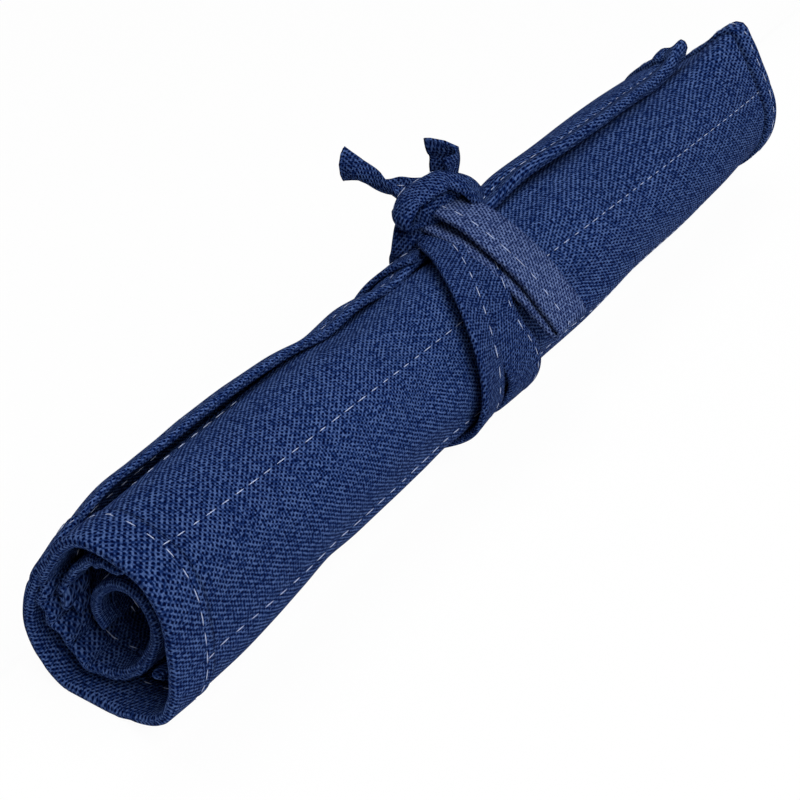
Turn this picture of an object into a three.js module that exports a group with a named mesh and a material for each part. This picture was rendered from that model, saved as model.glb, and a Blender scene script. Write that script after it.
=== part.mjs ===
import * as THREE from "three";

// A canvas brush roll, rolled up and tied round the middle. Millimetres and degrees, +Z up.
// The roll lies along X. Turn angles start at the panel's free edge on top of the roll and
// run down the back (+Y), under the roll, up the front (-Y) and on inwards, turn after turn.

// Panel
const rollLength = 350;
const outerRadius = 25;
const pocketCount = 10;
const pocketPitch = 28;
const edgeStripWidth = 16.5;
const canvasThickness = 1;
const pocketThickness = 0.7;
const pocketDepth = 225;
const hemWidth = 12;
const hemThickness = 0.9;
const innerHemWidth = 10;
const freeHemWidth = 9;
const hemRun = 0.6;

// The way it is rolled
const freeEdgeAngle = 28;
const fullTurns = 210;
const turnDrop = 7.2;
const edgeSlack = 0.8;
const flatHalfAngle = 17;
const cornerCut = 40;
const cornerTurn = 170;

// Tie
const strapWidth = 13.5;
const strapThickness = 1.6;
const wrapRecess = 0.1;
const pinchRun = 16;
const knotPlace = -12;
const knotAngle = 20;
const knotLength = 22;
const knotWidth = 14;
const knotHeight = 7.2;
const bandSpan = 30;
const bandRise = 8.4;
const bandWidth = 13;
const loopLength = 36;
const loopLift = 12;
const leftTailLength = 24;
const upTailLength = 15;
const tailDroop = 3;
const anchorWidth = 12;
const anchorPlace = -14;
const waistMargin = 1;

// Where the middle of each wrap lies along the roll, at stops round the roll
const wrapStops = [12, 62, 152, 242, 345];
const nearWrapPlaces = [-34, -46, -54, -46, -22];
const farWrapPlaces = [2, -6, -30, -22, -6];
const loopPlace = -7;
const leftTailPlace = -19;
const upTailPlace = -8;

// Clearances
const layerGap = 0.3;
const seamGap = 0.3;
const tieGap = 0.4;

// Facets
const stepAngle = 14;
const bandSteps = 10;
const loopSteps = 6;
const tailSteps = 4;
const curveSamples = 200;

const canvasBlue = 0x2a3f78;
const pocketBlue = 0x263a70;
const strapBlue = 0x30467f;
const cloth = (color) => new THREE.MeshStandardMaterial({ color, roughness: 0.92, metalness: 0 });

const rad = THREE.MathUtils.degToRad;
const nearEnd = -rollLength / 2;
const centreHeight = outerRadius * Math.cos(rad(flatHalfAngle));
const edgeDrop = canvasThickness + layerGap + hemThickness + edgeSlack;
const pinchDepth = layerGap + strapThickness + wrapRecess;
const pinchFrom = Math.min(...nearWrapPlaces) - strapWidth / 2 - waistMargin;
const pinchTo = Math.max(...farWrapPlaces) + strapWidth / 2 + waistMargin;

// Radius of the panel's outer face: steady for the first turn, then falling steadily.
function radiusAt(turn) {
  if (turn <= fullTurns) {
    return outerRadius;
  }
  if (turn <= 360) {
    return outerRadius - (edgeDrop * (turn - fullTurns)) / (360 - fullTurns);
  }
  return outerRadius - edgeDrop - (turnDrop * (turn - 360)) / 360;
}

// The turn angle that lies a given way along the cloth from the free edge.
function turnAt(length) {
  const step = 0.1;
  let turn = 0;
  for (let run = 0; run < length; turn += step) {
    run += radiusAt(turn) * rad(step);
  }
  return turn;
}

// The tie draws the whole roll in by its own thickness.
function pinchAt(x) {
  const rise = THREE.MathUtils.smoothstep(x, pinchFrom - pinchRun, pinchFrom);
  const fall = THREE.MathUtils.smoothstep(x, pinchTo, pinchTo + pinchRun);
  return pinchDepth * (rise - fall);
}

// A point at a turn angle and a radius, where the roll is not drawn in.
function polar(turn, radius, x) {
  const angle = rad(freeEdgeAngle + turn);
  return new THREE.Vector3(x, radius * Math.sin(angle), centreHeight + radius * Math.cos(angle));
}

// A point a given depth under the panel's outer face, flattened where the roll rests.
function clothPoint(turn, depth, x) {
  const under = depth + pinchAt(x);
  const point = polar(turn, radiusAt(turn) - under, x);
  point.z = Math.max(point.z, under);
  return point;
}

// The far end of the panel is short at the corner of the free edge.
function farEndAt(turn) {
  return rollLength / 2 - cornerCut * (1 - THREE.MathUtils.smoothstep(turn, 0, cornerTurn));
}

function solid(points, faces) {
  const geometry = new THREE.BufferGeometry();
  const position = new THREE.Float32BufferAttribute(points.flatMap((p) => p.toArray()), 3);
  geometry.setAttribute("position", position);
  geometry.setIndex(faces.flatMap(([a, b, c, d]) => [a, b, c, a, c, d]));
  geometry.computeVertexNormals();
  return geometry;
}

// A curved sheet over a list of turn angles. Each station gives a place along the roll and the
// depths of the sheet's outer and inner faces there.
function sheet(turns, stations) {
  const across = stations.length;
  const points = [];
  for (const turn of turns) {
    for (const station of stations) {
      points.push(clothPoint(turn, station.outer, station.x(turn)));
      points.push(clothPoint(turn, station.inner, station.x(turn)));
    }
  }
  const outer = (i, j) => 2 * (i * across + j);
  const inner = (i, j) => outer(i, j) + 1;
  const faces = [];
  const lastTurn = turns.length - 1;
  const lastStation = across - 1;
  for (let i = 0; i < lastTurn; i++) {
    for (let j = 0; j < lastStation; j++) {
      faces.push([outer(i, j), outer(i, j + 1), outer(i + 1, j + 1), outer(i + 1, j)]);
      faces.push([inner(i, j), inner(i + 1, j), inner(i + 1, j + 1), inner(i, j + 1)]);
    }
    faces.push([outer(i, 0), outer(i + 1, 0), inner(i + 1, 0), inner(i, 0)]);
    const end = lastStation;
    faces.push([outer(i, end), inner(i, end), inner(i + 1, end), outer(i + 1, end)]);
  }
  for (let j = 0; j < lastStation; j++) {
    faces.push([outer(0, j), inner(0, j), inner(0, j + 1), outer(0, j + 1)]);
    const end = lastTurn;
    faces.push([outer(end, j), outer(end, j + 1), inner(end, j + 1), inner(end, j)]);
  }
  return solid(points, faces);
}

// A flat strap along a path, with one direction for its width all the way.
function strap(path, widthDirection, width, thickness) {
  const across = widthDirection.clone().multiplyScalar(width / 2);
  const points = [];
  path.forEach((place, i) => {
    const ahead = path[Math.min(i + 1, path.length - 1)];
    const behind = path[Math.max(i - 1, 0)];
    const along = ahead.clone().sub(behind).normalize();
    const up = along.cross(widthDirection).normalize().multiplyScalar(thickness / 2);
    points.push(place.clone().sub(across).sub(up));
    points.push(place.clone().add(across).sub(up));
    points.push(place.clone().add(across).add(up));
    points.push(place.clone().sub(across).add(up));
  });
  const faces = [[0, 3, 2, 1]];
  for (let i = 0; i + 1 < path.length; i++) {
    for (let k = 0; k < 4; k++) {
      const next = (k + 1) % 4;
      faces.push([4 * i + k, 4 * i + next, 4 * i + 4 + next, 4 * i + 4 + k]);
    }
  }
  const end = 4 * (path.length - 1);
  faces.push([end, end + 1, end + 2, end + 3]);
  return solid(points, faces);
}

const roll = new THREE.Group();

function addPiece(name, geometry, color) {
  const mesh = new THREE.Mesh(geometry, cloth(color));
  mesh.name = name;
  roll.add(mesh);
}

const twoDigits = (number) => String(number).padStart(2, "0");

// The panel bends at its pocket seams, so each stretch between two seams is a section.
const seams = [0];
for (let k = 0; k <= pocketCount; k++) {
  seams.push(turnAt(edgeStripWidth + k * pocketPitch));
}
const lastSection = pocketCount;

// The turn angle where a given width of cloth ends, seen from another turn angle.
const turnOver = (turn, width) => THREE.MathUtils.radToDeg(width / radiusAt(turn));

function spread(from, to) {
  const steps = Math.max(2, Math.ceil((to - from) / stepAngle));
  return Array.from({ length: steps + 1 }, (_, i) => from + ((to - from) * i) / steps);
}

// The turn angles of one section, clear of its neighbours at the seams.
function sectionTurns(section) {
  const from = seams[section];
  const to = seams[section + 1];
  const start = section === 0 ? from : from + turnOver(from, seamGap / 2);
  const end = section === lastSection ? to : to - turnOver(to, seamGap / 2);
  return spread(start, end);
}

const fixed = (x, outer, inner) => ({ x: () => x, outer, inner });
const fromFarEnd = (back, outer, inner) => ({ x: (turn) => farEndAt(turn) - back, outer, inner });

// Places along the roll where the drawn-in waist starts, runs and ends
const waistPlaces = [
  pinchFrom - pinchRun,
  pinchFrom - pinchRun / 2,
  pinchFrom,
  pinchTo,
  pinchTo + pinchRun / 2,
  pinchTo + pinchRun,
];

// Main panel: its hems are turned to the inside at both ends.
const hemDepth = canvasThickness + hemThickness;
const canvasStations = [
  fixed(nearEnd, 0, hemDepth),
  fixed(nearEnd + hemWidth, 0, hemDepth),
  fixed(nearEnd + hemWidth + hemRun, 0, canvasThickness),
  ...waistPlaces.map((x) => fixed(x, 0, canvasThickness)),
  fromFarEnd(hemWidth + hemRun, 0, canvasThickness),
  fromFarEnd(hemWidth, 0, hemDepth),
  fromFarEnd(0, 0, hemDepth),
];
for (let section = 0; section <= lastSection; section++) {
  const name = section === 0 ? "canvas_edge" : "canvas_" + twoDigits(section);
  addPiece(name, sheet(sectionTurns(section), canvasStations), canvasBlue);
}

// Pocket panel: lies on the inside of the main panel, open towards the far end.
const pocketTop = canvasThickness + layerGap;
const pocketUnder = pocketTop + pocketThickness;
const pocketStart = nearEnd + hemWidth + hemRun + layerGap;
const pocketStations = [
  fixed(pocketStart, pocketTop, pocketUnder),
  ...waistPlaces.map((x) => fixed(x, pocketTop, pocketUnder)),
  fixed(nearEnd + pocketDepth, pocketTop, pocketUnder),
];
for (let section = 1; section <= lastSection; section++) {
  addPiece("pocket_" + twoDigits(section), sheet(sectionTurns(section), pocketStations), pocketBlue);
}

// Hems along the free edge and along the innermost edge, on the inside
const freeHemStations = [
  fixed(pocketStart, pocketTop, pocketTop + hemThickness),
  ...waistPlaces.map((x) => fixed(x, pocketTop, pocketTop + hemThickness)),
  fromFarEnd(hemWidth + hemRun + layerGap, pocketTop, pocketTop + hemThickness),
];
addPiece("free_edge_hem", sheet(spread(0, turnOver(0, freeHemWidth)), freeHemStations), canvasBlue);

const innerHemTop = pocketUnder + layerGap;
const innerEdge = seams[lastSection + 1];
const innerHemStart = innerEdge - turnOver(innerEdge, innerHemWidth);
const innerHemStations = [
  fixed(pocketStart, innerHemTop, innerHemTop + hemThickness),
  ...waistPlaces.map((x) => fixed(x, innerHemTop, innerHemTop + hemThickness)),
  fixed(nearEnd + pocketDepth, innerHemTop, innerHemTop + hemThickness),
];
addPiece("inner_edge_hem", sheet(spread(innerHemStart, innerEdge), innerHemStations), canvasBlue);

// The two wraps of the tie lie in the drawn-in waist and bend with the sections under them.
function wrapCurve(places) {
  return new THREE.SplineCurve(wrapStops.map((turn, i) => new THREE.Vector2(turn, places[i])));
}
const nearer = (turn, a, b) => (Math.abs(b.x - turn) < Math.abs(a.x - turn) ? b : a);
function addWrap(name, places) {
  const samples = wrapCurve(places).getPoints(curveSamples);
  const middleAt = (turn) => samples.reduce((a, b) => nearer(turn, a, b)).y;
  const stations = [-1, 1].map((side) => ({
    x: (turn) => middleAt(turn) + (side * strapWidth) / 2,
    outer: -layerGap - strapThickness,
    inner: -layerGap,
  }));
  const first = wrapStops[0];
  const last = wrapStops[wrapStops.length - 1];
  for (let section = 0; seams[section] < last; section++) {
    const turns = sectionTurns(section);
    const from = Math.max(turns[0], first);
    const to = Math.min(turns[turns.length - 1], last);
    const piece = section === 0 ? "edge" : twoDigits(section);
    addPiece(name + "_" + piece, sheet(spread(from, to), stations), strapBlue);
  }
}
addWrap("near_wrap", nearWrapPlaces);
addWrap("far_wrap", farWrapPlaces);

// The end of the tie that is sewn to the free edge, between the wraps
const anchorStations = [-1, 1].map((side) =>
  fixed(anchorPlace + (side * anchorWidth) / 2, -layerGap - strapThickness, -layerGap),
);
const anchorEnd = turnOver(0, strapWidth);
addPiece("tie_anchor", sheet(spread(0, anchorEnd), anchorStations), strapBlue);

// Knot: a lump that leans on the sewn end at the free edge, with a band of the tie arched over
// it along the roll. Past the edge its round underside reaches lower than the sewn end.
const knotTurn = knotAngle - freeEdgeAngle;
const knotOverhang = outerRadius * rad(-knotTurn);
const knotBelly = (knotHeight / 2) * (1 - Math.sqrt(1 - (2 * knotOverhang / knotWidth) ** 2));
const edgeFall = outerRadius * (1 - Math.cos(rad(knotTurn)));
const knotFoot = outerRadius - wrapRecess + tieGap - knotBelly - edgeFall;
const knotMiddleRadius = knotFoot + knotHeight / 2;
const knotSideTurn = THREE.MathUtils.radToDeg((knotWidth / 2 + tieGap) / knotMiddleRadius);
const knotCore = new THREE.SphereGeometry(0.5, 16, 10);
knotCore.scale(knotLength, knotWidth, knotHeight);
knotCore.rotateX(-rad(knotAngle));
const knotMiddle = polar(knotTurn, knotMiddleRadius, knotPlace);
knotCore.translate(knotMiddle.x, knotMiddle.y, knotMiddle.z);
addPiece("knot_core", knotCore, strapBlue);

const bandPath = Array.from({ length: bandSteps + 1 }, (_, i) => {
  const angle = (Math.PI * i) / bandSteps;
  const x = knotPlace - (bandSpan / 2) * Math.cos(angle);
  return polar(knotTurn, knotFoot + strapThickness / 2 + bandRise * Math.sin(angle), x);
});
const roundTheRoll = new THREE.Vector3(0, Math.cos(rad(knotAngle)), -Math.sin(rad(knotAngle)));
addPiece("knot_band", strap(bandPath, roundTheRoll, bandWidth, strapThickness), strapBlue);

// Bow loop: a doubled strap that runs out of the knot and down the front of the roll.
const alongRoll = new THREE.Vector3(1, 0, 0);
const loopStart = knotTurn - knotSideTurn;
const loopEnd = loopStart - turnOver(0, loopLength);
const loopLow = knotMiddleRadius - (strapThickness + layerGap) / 2;
const loopHigh = loopLow + strapThickness + layerGap;
const loopPath = [];
for (let i = 0; i <= loopSteps; i++) {
  const share = i / loopSteps;
  const turn = THREE.MathUtils.lerp(loopStart, loopEnd, share);
  loopPath.push(polar(turn, loopLow + loopLift * share * share, loopPlace));
}
const foldTurn = loopEnd - turnOver(0, strapThickness);
loopPath.push(polar(foldTurn, (loopLow + loopHigh) / 2 + loopLift, loopPlace));
for (let i = loopSteps; i >= 0; i--) {
  const share = i / loopSteps;
  const turn = THREE.MathUtils.lerp(loopStart, loopEnd, share);
  loopPath.push(polar(turn, loopHigh + loopLift * share * share, loopPlace));
}
addPiece("bow_loop", strap(loopPath, alongRoll, strapWidth, strapThickness), strapBlue);

// Left tail: runs back off the knot and droops.
const leftTailRoot = polar(knotTurn + knotSideTurn, knotMiddleRadius, leftTailPlace);
const leftTailPath = Array.from({ length: tailSteps + 1 }, (_, i) => {
  const share = i / tailSteps;
  const back = leftTailLength * share;
  return leftTailRoot.clone().add(new THREE.Vector3(0, back, -tailDroop * share * share));
});
addPiece("left_tail", strap(leftTailPath, alongRoll, strapWidth, strapThickness), strapBlue);

// Up tail: stands on top of the knot.
const upTailFoot = knotFoot + strapThickness + bandRise + tieGap;
const upTailPath = Array.from({ length: tailSteps + 1 }, (_, i) => {
  const rise = (upTailLength * i) / tailSteps;
  return polar(knotTurn, upTailFoot + rise, upTailPlace);
});
addPiece("up_tail", strap(upTailPath, roundTheRoll, strapWidth, strapThickness), strapBlue);

// The origin is the middle of the box's underside.
const box = new THREE.Box3().setFromObject(roll);
const middle = box.getCenter(new THREE.Vector3());
roll.position.set(-middle.x, -middle.y, -box.min.z);

const part = new THREE.Group();
part.add(roll);

export default part;
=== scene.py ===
import math
import bpy
import numpy as np
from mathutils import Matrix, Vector


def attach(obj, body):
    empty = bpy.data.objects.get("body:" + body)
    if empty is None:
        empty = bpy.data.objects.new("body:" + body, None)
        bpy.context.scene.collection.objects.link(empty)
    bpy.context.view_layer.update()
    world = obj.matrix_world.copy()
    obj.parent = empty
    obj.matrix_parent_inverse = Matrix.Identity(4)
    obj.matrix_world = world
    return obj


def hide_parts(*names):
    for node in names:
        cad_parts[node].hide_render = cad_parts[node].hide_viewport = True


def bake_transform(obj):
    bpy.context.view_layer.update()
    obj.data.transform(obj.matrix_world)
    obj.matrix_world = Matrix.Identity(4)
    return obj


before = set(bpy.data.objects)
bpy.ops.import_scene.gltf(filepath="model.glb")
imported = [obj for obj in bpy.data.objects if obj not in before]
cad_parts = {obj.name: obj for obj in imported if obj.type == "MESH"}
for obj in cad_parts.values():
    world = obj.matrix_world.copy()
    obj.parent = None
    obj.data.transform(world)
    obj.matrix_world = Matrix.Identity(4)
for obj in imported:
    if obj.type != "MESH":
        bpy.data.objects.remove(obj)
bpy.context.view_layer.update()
mm = 0.001

# The roll lies along X. Lengths in the dictionaries are millimetres, angles degrees.
# A turn angle starts at the panel's free edge on top and runs down the back, under the
# roll, up the front and on inwards. An arc is the way along the cloth from that edge.
roll = {
    "length": 350.0,
    "radius": 25.0,
    "edgeAngle": 28.0,      # the free edge, from straight up towards the back
    "steadyTurn": 210.0,    # the outer turn keeps its radius this far
    "edgeDrop": 3.0,
    "turnDrop": 7.2,
    "flatHalfAngle": 17.0,
    "backShift": 0.25,
    "edgeStrip": 16.5,
    "pocketPitch": 28.0,
    "pocketCount": 10,
    "cornerCut": 31.0,
    "cornerTurn": 170.0,
    "cornerFrom": 60.0,
    "farSwell": 1.3,        # the far end stands out most high at the front
    "farSwellTurn": 298.0,
    "farSwellWidth": 42.0,
}
nearEnd = -roll["length"] / 2
farEnd = roll["length"] / 2
cornerEnd = farEnd - roll["cornerCut"]
centreHeight = roll["radius"] * math.cos(math.radians(roll["flatHalfAngle"]))
panelWidth = roll["edgeStrip"] + roll["pocketCount"] * roll["pocketPitch"]


def smooth(value, start, end):
    t = np.clip((np.asarray(value, float) - start) / (end - start), 0, 1)
    return t * t * (3 - 2 * t)


def hump(value, middle, width):
    return np.exp(-(((np.asarray(value, float) - middle) / width) ** 2))


def stepAt(value, place, half):
    return smooth(value, place - half, place + half)


# 1 at the near end, fading to 0 within a run
def nearFade(x, run):
    return 1 - smooth(x, nearEnd, nearEnd + run)


# 1 between the middle two of four stops, fading to 0 at the outer two
def between(value, stops):
    return smooth(value, *stops[:2]) * (1 - smooth(value, *stops[2:]))


def throughPoints(stops, values, at):
    stops, values = np.array(stops, float), np.array(values, float)
    slopes = np.gradient(values, stops)
    i = np.clip(np.searchsorted(stops, at, side="right") - 1, 0, len(stops) - 2)
    step = stops[i + 1] - stops[i]
    t = np.clip((at - stops[i]) / step, 0, 1)
    rise = values[i + 1] - values[i]
    bend = (1 - t) * (slopes[i] * step - rise) + t * (rise - slopes[i + 1] * step)
    return values[i] + t * rise + t * (1 - t) * bend


def spiralRadius(turn):
    late = roll["radius"] - roll["edgeDrop"] * (turn - roll["steadyTurn"]) / (360 - roll["steadyTurn"])
    inner = roll["radius"] - roll["edgeDrop"] - roll["turnDrop"] * (turn - 360) / 360
    return np.where(turn <= roll["steadyTurn"], roll["radius"], np.where(turn <= 360, late, inner))


turnTable = np.linspace(-60, 900, 9601)
stepArcs = np.radians(np.diff(turnTable)) * spiralRadius((turnTable[1:] + turnTable[:-1]) / 2)
arcTable = np.concatenate([[0], np.cumsum(stepArcs)])
arcTable -= np.interp(0, turnTable, arcTable)


def turnAt(arc):
    return np.interp(arc, arcTable, turnTable)


# The panel is rolled a little askew, so its edges and seams creep round the roll along its length
skew = {"slope": 0.039, "levelAt": -125.0}
# The open near end: the radius of the rim at turn angles, back to the spiral within a run
nearMouth = {
    "turns": [-10, 36, 67, 88, 108, 126, 145, 170, 197, 215, 235, 255, 281, 295, 313, 335, 351, 366, 388,
              424, 449, 480, 511, 540, 564, 603, 630, 659, 685, 709, 760, 812, 850],
    "radii": [20, 19, 21.2, 24.4, 26.6, 26.6, 24.8, 24.4, 25.4, 24.2, 23.6, 24, 28.2, 29.8, 28.8, 26.6,
              22.8, 19.6, 18, 17, 16.6, 18.3, 17.5, 15.2, 13.2, 12.8, 12.3, 11.2, 9.2, 7.4, 6.2, 6.8, 7.2],
    "run": 58.0,
    "recessTurns": [380, 430, 500, 560, 850],
    "recess": [0, 1.5, 3.5, 6, 7],
    "recessFrom": (370, 400),
    "crumple": 0.8,
    "crumpleLength": 8.5,
    "crumpleSlant": 0.05,
    "crumpleRun": 26.0,
    "crumpleTurns": (372, 400, 470, 520),
    "pullRun": 40.0,            # how far the recess of the inner turns reaches back
    "wander": ((0.5, 3.7, 0), (0.35, 1.9, 1)),      # size, length and phase of the rim's waves
    "wanderTurns": (360, 400, 490, 540),
}
# The tie draws the roll in, least low down at the front
waist = {"from": -62.0, "to": 10.0, "run": 24.0, "depth": 2.0, "slackTurn": 215.0, "slackWidth": 40.0}
# The strip along the free edge stands off the turn below it
freeEdge = {
    "flat": 8.0,
    "run": 52.0,
    "places": [-175, -163, -150, -138, -127, -117, -103, -92, -80, -70, -62, -54,
               -47, -38, -28, -10, 15, 36, 60, 90, 108, 124, 134, 147],
    "lifts": [0.0, 2.9, 3.9, 2.2, 1.1, 1.1, 1.1, 0.5, -0.2, -0.4, 0.7, 1.4,
              0.8, -0.5, 0.6, 0.2, 1.4, 2.8, 3.4, 3.4, 3.0, 2.0, 1.2, 0.8],
    "reach": 4.0,           # the strip is wider past the tie
    "reachFrom": 0.0,
    "reachTo": 60.0,
    "reachBack": 75.0,
    "cornerCurl": 3.8,
    "cornerCurlFrom": 116.0,
    "cornerCurlWay": 10.0,
    "cornerFold": 2.4,      # the last of the corner is creased up
    "cornerFoldFrom": 130.0,
    "cornerFoldWay": 10.0,
    "cornerHem": 2.2,       # the hem is bunched up there
    "cornerHemFrom": 86.0,
    "cornerHemWay": (2, 8),
}
# Low at the front the outer turn is not quite round along its length
lowFront = {
    "turn": 204.0,
    "width": 28.0,
    "places": [-175, -160, -147, -135, -124, -112, -100, -85, -70, -57, -44,
               4, 18, 30, 44, 60, 80, 100, 120, 137, 155],
    "lifts": [0, 0.7, 1.0, 0.5, -0.3, -1.1, -0.2, 0, -0.5, -0.9, 0,
              0, 0.9, 1.3, 0.7, 0, 0.4, 0.9, 1.2, 1.1, 0],
}
farMouth = {
    "turns": [201, 226, 250, 272, 293, 310, 321, 330, 340, 356, 380, 430],
    "lifts": [-0.8, -0.8, -0.8, -0.8, 0.8, 5.0, 8.7, 5.2, 0.6, -2.6, -3.2, -1.2],
    "run": 56.0,
    "fromTurns": (150, 201),
}
ripples = {
    "size": 0.26,
    "waves": ((1, 17, 9.3, 0), (0.7, 29, -14.1, 1.3), (0.5, 8.7, 21, 4)),   # size, along, around, phase
    "outerTurns": (355, 385),   # they end where the outer turn is covered
    "tieFold": 0.5,
    "tieRun": 24.0,
    "tieOff": 6.0,
    "tieFoldLengths": (30, 2.6),
    "pocketSwell": 0.45,
    "pocketSwellPower": 0.7,
}


def skewAt(x):
    return skew["slope"] * (x - skew["levelAt"])


def edgeReachAt(x):
    wider = smooth(x, freeEdge["reachFrom"], freeEdge["reachTo"]) - smooth(x, freeEdge["reachBack"], farEnd)
    return freeEdge["reach"] * wider


def waistAt(x):
    rise = smooth(x, waist["from"] - waist["run"], waist["from"])
    return waist["depth"] * (rise - smooth(x, waist["to"], waist["to"] + waist["run"]))


def drawnIn(turn, x):
    return waistAt(x) * (1 - hump(turn, waist["slackTurn"], waist["slackWidth"]))


def farEndAt(turn):
    swell = roll["farSwell"] * hump(turn, roll["farSwellTurn"], roll["farSwellWidth"])
    return farEnd - roll["cornerCut"] * (1 - smooth(turn, 0, roll["cornerTurn"])) + swell


# The outer face of the main panel at an arc round the roll and a place along it
def clothPoint(arc, x):
    turn = turnAt(arc)
    way = arc + skewAt(x)
    radius = spiralRadius(turn)
    nearShare = nearFade(x, nearMouth["run"])
    radius = radius + nearShare * (throughPoints(nearMouth["turns"], nearMouth["radii"], turn) - radius)
    crumpled = between(turn, nearMouth["crumpleTurns"])
    wave = np.sin(2 * np.pi * arc / nearMouth["crumpleLength"] + nearMouth["crumpleSlant"] * x)
    crumpled = crumpled * nearFade(x, nearMouth["crumpleRun"])
    radius = radius + nearMouth["crumple"] * wave * crumpled
    radius = radius - drawnIn(turn, x)
    edgeWay = way + edgeReachAt(x)
    lift = throughPoints(freeEdge["places"], freeEdge["lifts"], x)
    radius = radius + lift * (1 - smooth(edgeWay, freeEdge["flat"], freeEdge["run"]))
    curl = smooth(x, freeEdge["cornerCurlFrom"], cornerEnd)
    radius = radius + freeEdge["cornerCurl"] * curl * (1 - smooth(edgeWay, 0, freeEdge["cornerCurlWay"]))
    fold = smooth(x, freeEdge["cornerFoldFrom"], cornerEnd)
    foldWay = freeEdge["cornerFoldWay"]
    radius = radius + freeEdge["cornerFold"] * fold * (1 - smooth(edgeWay, foldWay - 1.5, foldWay + 1))
    farShare = smooth(x, farEnd - farMouth["run"], farEnd)
    farLift = throughPoints(farMouth["turns"], farMouth["lifts"], turn)
    radius = radius + farShare * farLift * smooth(turn, *farMouth["fromTurns"])
    low = throughPoints(lowFront["places"], lowFront["lifts"], x)
    radius = radius + low * hump(turn, lowFront["turn"], lowFront["width"])
    toSeam = (way - roll["edgeStrip"]) / roll["pocketPitch"]
    outerTurn = 1 - smooth(turn, *ripples["outerTurns"])
    swell = np.abs(np.sin(np.pi * toSeam)) ** ripples["pocketSwellPower"]
    swell = swell * smooth(way, 0, roll["edgeStrip"] * 2)
    radius = radius + ripples["pocketSwell"] * swell * outerTurn
    waves = sum(size * np.sin(x / long + arc / wide + phase) for size, long, wide, phase in ripples["waves"])
    radius = radius + ripples["size"] * outerTurn * waves
    tieNear = hump(x, waist["from"] - ripples["tieOff"], ripples["tieRun"])
    tieNear = tieNear + hump(x, waist["to"] + ripples["tieOff"], ripples["tieRun"])
    foldAlong, foldAround = ripples["tieFoldLengths"]
    radius = radius + ripples["tieFold"] * tieNear * outerTurn * np.sin(arc / foldAround + x / foldAlong)
    angle = np.radians(roll["edgeAngle"] + turn)
    y = roll["backShift"] + radius * np.sin(angle)
    z = centreHeight + radius * np.cos(angle)
    return np.stack([x + 0 * y, y, z], -1)


def unit(v):
    return v / np.maximum(np.linalg.norm(v, axis=-1, keepdims=True), 1e-9)


def clothFrame(arc, x):
    d = 0.4
    along = clothPoint(arc, x + d) - clothPoint(arc, x - d)
    around = clothPoint(arc + d, x) - clothPoint(arc - d, x)
    return clothPoint(arc, x), unit(np.cross(along, around))


# Mesh helpers
def addObject(name, data):
    obj = bpy.data.objects.new(name, data)
    bpy.context.scene.collection.objects.link(obj)
    return obj


def meshObject(name, points, faces, uvs=None, sharp=(), paintedShade=None):
    mesh = bpy.data.meshes.new(name)
    mesh.from_pydata([tuple(p) for p in np.asarray(points, float) * mm], [], faces)
    if uvs is not None:
        layer = mesh.uv_layers.new(name="cloth")
        corners = np.asarray(uvs, np.float32)
        if len(corners) != len(mesh.loops):     # one place for each point, not for each corner
            index = np.zeros(len(mesh.loops), np.int32)
            mesh.loops.foreach_get("vertex_index", index)
            corners = corners[index]
        layer.data.foreach_set("uv", corners.ravel())
    mesh.polygons.foreach_set("use_smooth", [True] * len(mesh.polygons))
    if paintedShade is not None:        # painted shade: darkens the colour along a hem step or a fold
        values = np.asarray(paintedShade, np.float32).ravel()
        mesh.attributes.new("paintedShade", "FLOAT", "POINT").data.foreach_set("value", values)
    if len(sharp):
        ends = np.zeros(len(mesh.edges) * 2, np.int32)
        mesh.edges.foreach_get("vertices", ends)
        ends = ends.reshape(-1, 2)
        marks = np.zeros(len(mesh.edges), bool)
        for group in sharp:
            marks |= np.isin(ends, group).all(1)
        mesh.attributes.new("sharp_edge", "BOOLEAN", "EDGE").data.foreach_set("value", marks)
    mesh.update()
    return addObject(name, mesh)


# Two faces over the same grid, closed along its four borders
def closedGrid(outer, inner, uvs):
    rows, columns = outer.shape[:2]
    count = rows * columns
    points = np.concatenate([outer.reshape(-1, 3), inner.reshape(-1, 3)])
    corner = (np.arange(rows - 1)[:, None] * columns + np.arange(columns - 1)[None, :]).ravel()
    top = np.stack([corner, corner + 1, corner + columns + 1, corner + columns], 1)
    faces = [tuple(f) for f in top.tolist()] + [tuple(count + v for v in f[::-1]) for f in top.tolist()]
    border = list(range(columns))
    border += [i * columns + columns - 1 for i in range(1, rows)]
    border += [(rows - 1) * columns + j for j in range(columns - 2, -1, -1)]
    border += [i * columns for i in range(rows - 2, 0, -1)]
    for a, b in zip(border, border[1:] + border[:1]):
        faces.append((a, count + a, count + b, b))
    front = uvs.reshape(-1, 2)
    back = np.array([2 * nearEnd, 0]) + front * np.array([-1, 1])     # goes on round the near rim
    return points, faces, np.concatenate([front, back])


def gridRow(rows, columns, row):
    line = np.arange(columns) + row * columns
    return np.concatenate([line, line + rows * columns])


# Places across a sheet with a round edge or a cut at either end: (place, share of the thickness, and
# how much further the cloth itself has run round the edge there)
def sheetPlaces(start, end, inside, edge, startRound=True, endRound=True):
    cut, least = 0.12, 0.3      # a row just inside a cut, and the least step to the next
    lead = [(start, 1.0, 0.0), (start + cut, 1.0, 0.0)]
    curved = []
    for a in np.radians([8, 30, 55, 90]):
        curved.append((edge * (1 - math.cos(a)), math.sin(a), edge * (math.pi / 2 - a - math.cos(a))))
    if startRound:
        lead = [(start + place, share, -further) for place, share, further in curved]
    tail = [(end - cut, 1.0, 0.0), (end, 1.0, 0.0)]
    if endRound:
        tail = [(end - place, share, further) for place, share, further in curved[::-1]]
    middle = [(p, 1.0, 0.0) for p in inside if lead[-1][0] + least < p < tail[0][0] - least]
    return [np.array(column) for column in zip(*(lead + middle + tail))]


def stepped(*stops):
    runs = [np.arange(a, b, step) for (a, step), (b, _) in zip(stops, stops[1:])]
    return np.concatenate(runs + [[stops[-1][0]]])


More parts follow.
